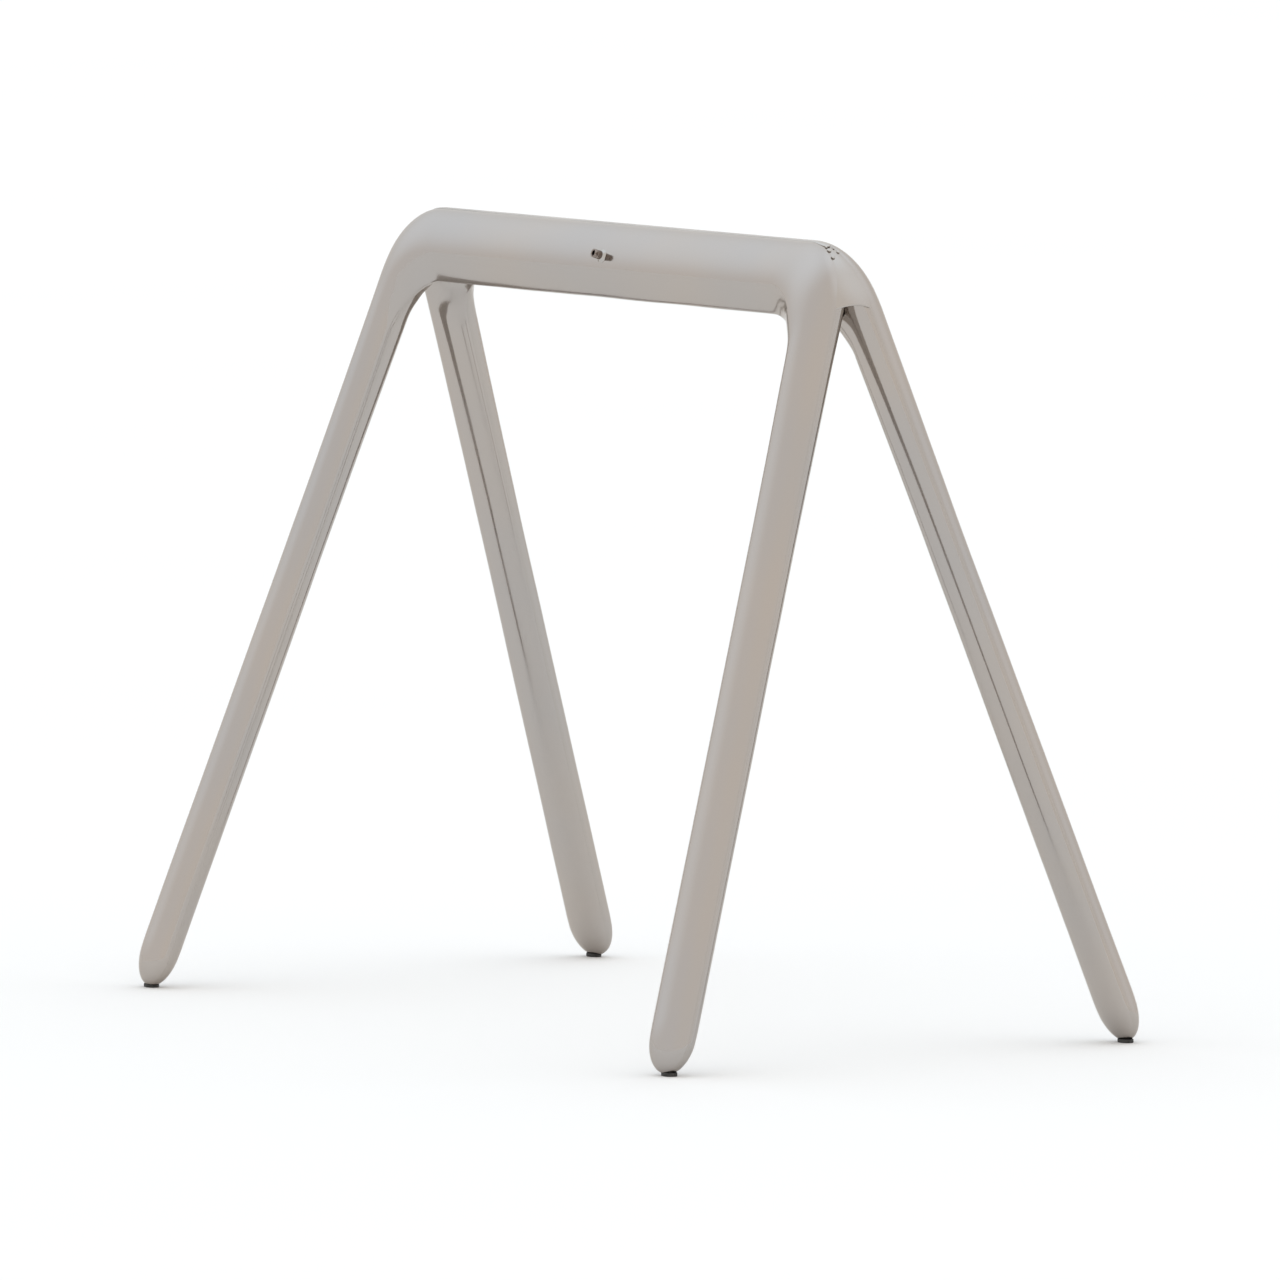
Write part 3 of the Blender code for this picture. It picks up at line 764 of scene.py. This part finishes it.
def steel_material(name, warm, cool, rough, grain):
    """Steel with slow warm and cool patches, uneven gloss and a faint grain.

    rough is the range of the roughness, and grain is in cycles a metre, with its depth.
    """
    material, tree, shader = new_material(name)
    coordinates = add_node(tree, "ShaderNodeTexCoord").outputs["Object"]
    patches = spread(tree, noise_field(tree, coordinates, scale=5.5, detail=2.5), 0.35, 0.65, 0, 1)
    tree.links.new(blend_colours(tree, patches, warm, cool), shader.inputs["Base Color"])
    gloss = spread(tree, noise_field(tree, coordinates, scale=14, detail=4, roughness=0.6), 0.3, 0.7, *rough)
    tree.links.new(gloss, shader.inputs["Roughness"])
    shader.inputs["Metallic"].default_value = 1.0
    shader.inputs["Specular Tint"].default_value = EDGE_TINT
    cycles, depth = grain
    bump(tree, shader, noise_field(tree, coordinates, cycles, detail=3, roughness=0.6), depth)
    return material


def rubber_material():
    """Dusty black rubber."""
    material, tree, shader = new_material("dark_rubber")
    coordinates = add_node(tree, "ShaderNodeTexCoord").outputs["Object"]
    dust = spread(tree, noise_field(tree, coordinates, scale=260, detail=4, roughness=0.7), 0.45, 0.75, 0, 1)
    tree.links.new(blend_colours(tree, dust, (0.022, 0.021, 0.020), (0.060, 0.056, 0.052)),
                   shader.inputs["Base Color"])
    gloss = spread(tree, noise_field(tree, coordinates, scale=400), 0.3, 0.7, 0.55, 0.8)
    tree.links.new(gloss, shader.inputs["Roughness"])
    bump(tree, shader, noise_field(tree, coordinates, scale=1500, detail=3), depth=0.00006)
    return material


def make_materials():
    return {
        "sheet": steel_material("polished_steel", (0.446, 0.403, 0.368), (0.424, 0.397, 0.378), (0.10, 0.17),
                                (420, 0.000010)),
        "web": steel_material("ground_web", (0.465, 0.422, 0.385), (0.425, 0.400, 0.378), (0.13, 0.26),
                              (300, 0.00005)),
        "seam": steel_material("ground_weld", (0.440, 0.400, 0.365), (0.415, 0.388, 0.364), (0.12, 0.20),
                               (600, 0.00003)),
        # Weld steel: its lighter warm colour is partly the weld's own tone and partly a painted highlight,
        # most of all on the weld round each valve.
        "weld": steel_material("weld_bead", (0.560, 0.530, 0.500), (0.420, 0.400, 0.380), (0.12, 0.28),
                               (500, 0.00006)),
        # Valve steel: its dark brown colour is a painted dark reflection, not the steel's own tone.
        "valve": steel_material("valve_steel", (0.36, 0.29, 0.25), (0.22, 0.19, 0.17), (0.08, 0.20),
                                (900, 0.00002)),
        # Plug steel: its near-black colour is painted shade deep in the valve's bore.
        "plug": steel_material("plug_steel", (0.10, 0.09, 0.085), (0.05, 0.05, 0.05), (0.35, 0.55),
                               (1200, 0.00002)),
        "rubber": rubber_material(),
    }


# ---------------------------------------------------------------- stage

CAMERA_PLACE = Vector((12.4657, -7.8153, 1.5856))
CAMERA_AIM = Vector((0.0054, 0.0087, 0.3414))
CAMERA_ROLL = radians(-0.229)
LENS = 457.5
SENSOR_WIDTH = 36
CLIP = (1.0, 200.0)
FLOOR_RADIUS = 60.0
FLOOR_SIDES = 96
FLOOR_COLOURS = ((0.888, 0.870, 0.850), (0.898, 0.880, 0.860))
ROOM_LIGHT = (1.0, 0.995, 0.985)
GLOWS = (                 # azimuth, elevation, angle where the glow is gone, in degrees; then its colour
    (180, 54, 62, (0.20, 0.30, 0.40)),
    (-150, 40, 40, (0.05, 0.06, 0.07)),
    (-20, 5, 70, (0.02, 0.00, -0.03)),
    (62, 50, 52, (0.16, 0.20, 0.24)),
)


def make_camera():
    """Camera at the photograph's angle."""
    data = bpy.data.cameras.new("camera")
    data.lens = LENS
    data.sensor_width = SENSOR_WIDTH
    data.clip_start, data.clip_end = CLIP
    camera = bpy.data.objects.new("camera", data)
    camera.location = CAMERA_PLACE
    look = (CAMERA_AIM - CAMERA_PLACE).to_track_quat("-Z", "Y").to_matrix().to_4x4()
    camera.rotation_mode = "QUATERNION"
    camera.rotation_quaternion = (look @ Matrix.Rotation(CAMERA_ROLL, 4, "Z")).to_quaternion()
    bpy.context.scene.collection.objects.link(camera)
    bpy.context.scene.camera = camera


def make_floor():
    """Wide pale disc, with only the slightest unevenness."""
    bm = bmesh.new()
    bmesh.ops.create_circle(bm, cap_ends=True, segments=FLOOR_SIDES, radius=FLOOR_RADIUS)
    floor = add_object("floor", bm)
    material, tree, shader = new_material("pale_floor")
    coordinates = add_node(tree, "ShaderNodeTexCoord").outputs["Object"]
    shade = spread(tree, noise_field(tree, coordinates, scale=0.8, detail=3), 0.3, 0.7, 0, 1)
    tree.links.new(blend_colours(tree, shade, *FLOOR_COLOURS), shader.inputs["Base Color"])
    shader.inputs["Roughness"].default_value = 0.9
    shader.inputs["Specular IOR Level"].default_value = 0.1
    floor.data.materials.append(material)


def make_world():
    """Pale room that lights evenly, with broad soft glows where its large lamps are."""
    world = bpy.data.worlds.new("studio")
    world.use_nodes = True
    tree = world.node_tree
    coordinates = add_node(tree, "ShaderNodeTexCoord").outputs["Generated"]
    total = add_node(tree, "ShaderNodeRGB").outputs["Color"]
    total.default_value = (*ROOM_LIGHT, 1)
    for azimuth, elevation, reach, colour in GLOWS:
        a, e = radians(azimuth), radians(elevation)
        toward = add_node(tree, "ShaderNodeVectorMath", operation="DOT_PRODUCT")
        tree.links.new(coordinates, toward.inputs[0])
        toward.inputs[1].default_value = (cos(a) * cos(e), sin(a) * cos(e), sin(e))
        share = add_node(tree, "ShaderNodeMapRange", {"From Min": cos(radians(reach)), "From Max": 1.0},
                         interpolation_type="SMOOTHSTEP")
        tree.links.new(toward.outputs["Value"], share.inputs["Value"])
        glow = add_node(tree, "ShaderNodeVectorMath", operation="SCALE")
        glow.inputs[0].default_value = colour
        tree.links.new(share.outputs["Result"], glow.inputs["Scale"])
        joined = add_node(tree, "ShaderNodeVectorMath", operation="ADD")
        tree.links.new(total, joined.inputs[0])
        tree.links.new(glow.outputs["Vector"], joined.inputs[1])
        total = joined.outputs["Vector"]
    tree.links.new(total, tree.nodes["Background"].inputs["Color"])
    bpy.context.scene.world = world


def make_stage():
    make_camera()
    make_floor()
    make_world()
    bpy.context.scene.view_settings.view_transform = "Standard"


# ---------------------------------------------------------------- the whole

def main():
    """Builds the stage, the materials and every piece."""
    make_stage()
    materials = make_materials()
    for word, side in SIDES.items():
        for layer, sheet in SHEETS.items():
            obj = sheet_object(f"{word}_{layer}_skin", side, sheet)
            if sheet == 0:
                drill(obj, valve_matrix(side))
            finish_piece(obj, materials["sheet"], "polished_steel", f"{word}_{layer}_sheet")
        tree = BVHTree.FromPolygons([v.co for v in obj.data.vertices],
                                    [tuple(p.vertices) for p in obj.data.polygons])
        edge = bead(f"{word}_edge_bead", edge_path(side, EDGE_INSET), out_of_frame(side), EDGE_WIDTH,
                    EDGE_INSET, closed=True, power=EDGE_SQUARENESS)
        finish_piece(edge, materials["seam"], "weld_bead", f"{word}_edge_weld")
        valve(word, side, materials)
        for hand, x_sign in ENDS.items():
            glide(f"{word}_{hand}_pad", x_sign, side, tree, materials["rubber"], f"{word}_{hand}_glide")

    finish_piece(ridge_mound(), materials["weld"], "weld_bead", "ridge_weld")
    for hand, x_sign in ENDS.items():
        finish_piece(end_web(f"{hand}_web", x_sign), materials["web"], "polished_steel", f"{hand}_end_web")
    line = underside_line()
    whole = [Vector((-p.x, 0, p.z)) for p in line[:0:-1]] + [Vector(p) for p in line]
    seam = bead("underside_bead", resampled(whole, SEAM_STEP), Vector((0, 1, 0)), SEAM_WIDTH, SEAM_RISE,
                wobble=SEAM_WOBBLE)
    finish_piece(seam, materials["weld"], "weld_bead", "underside_weld")


main()
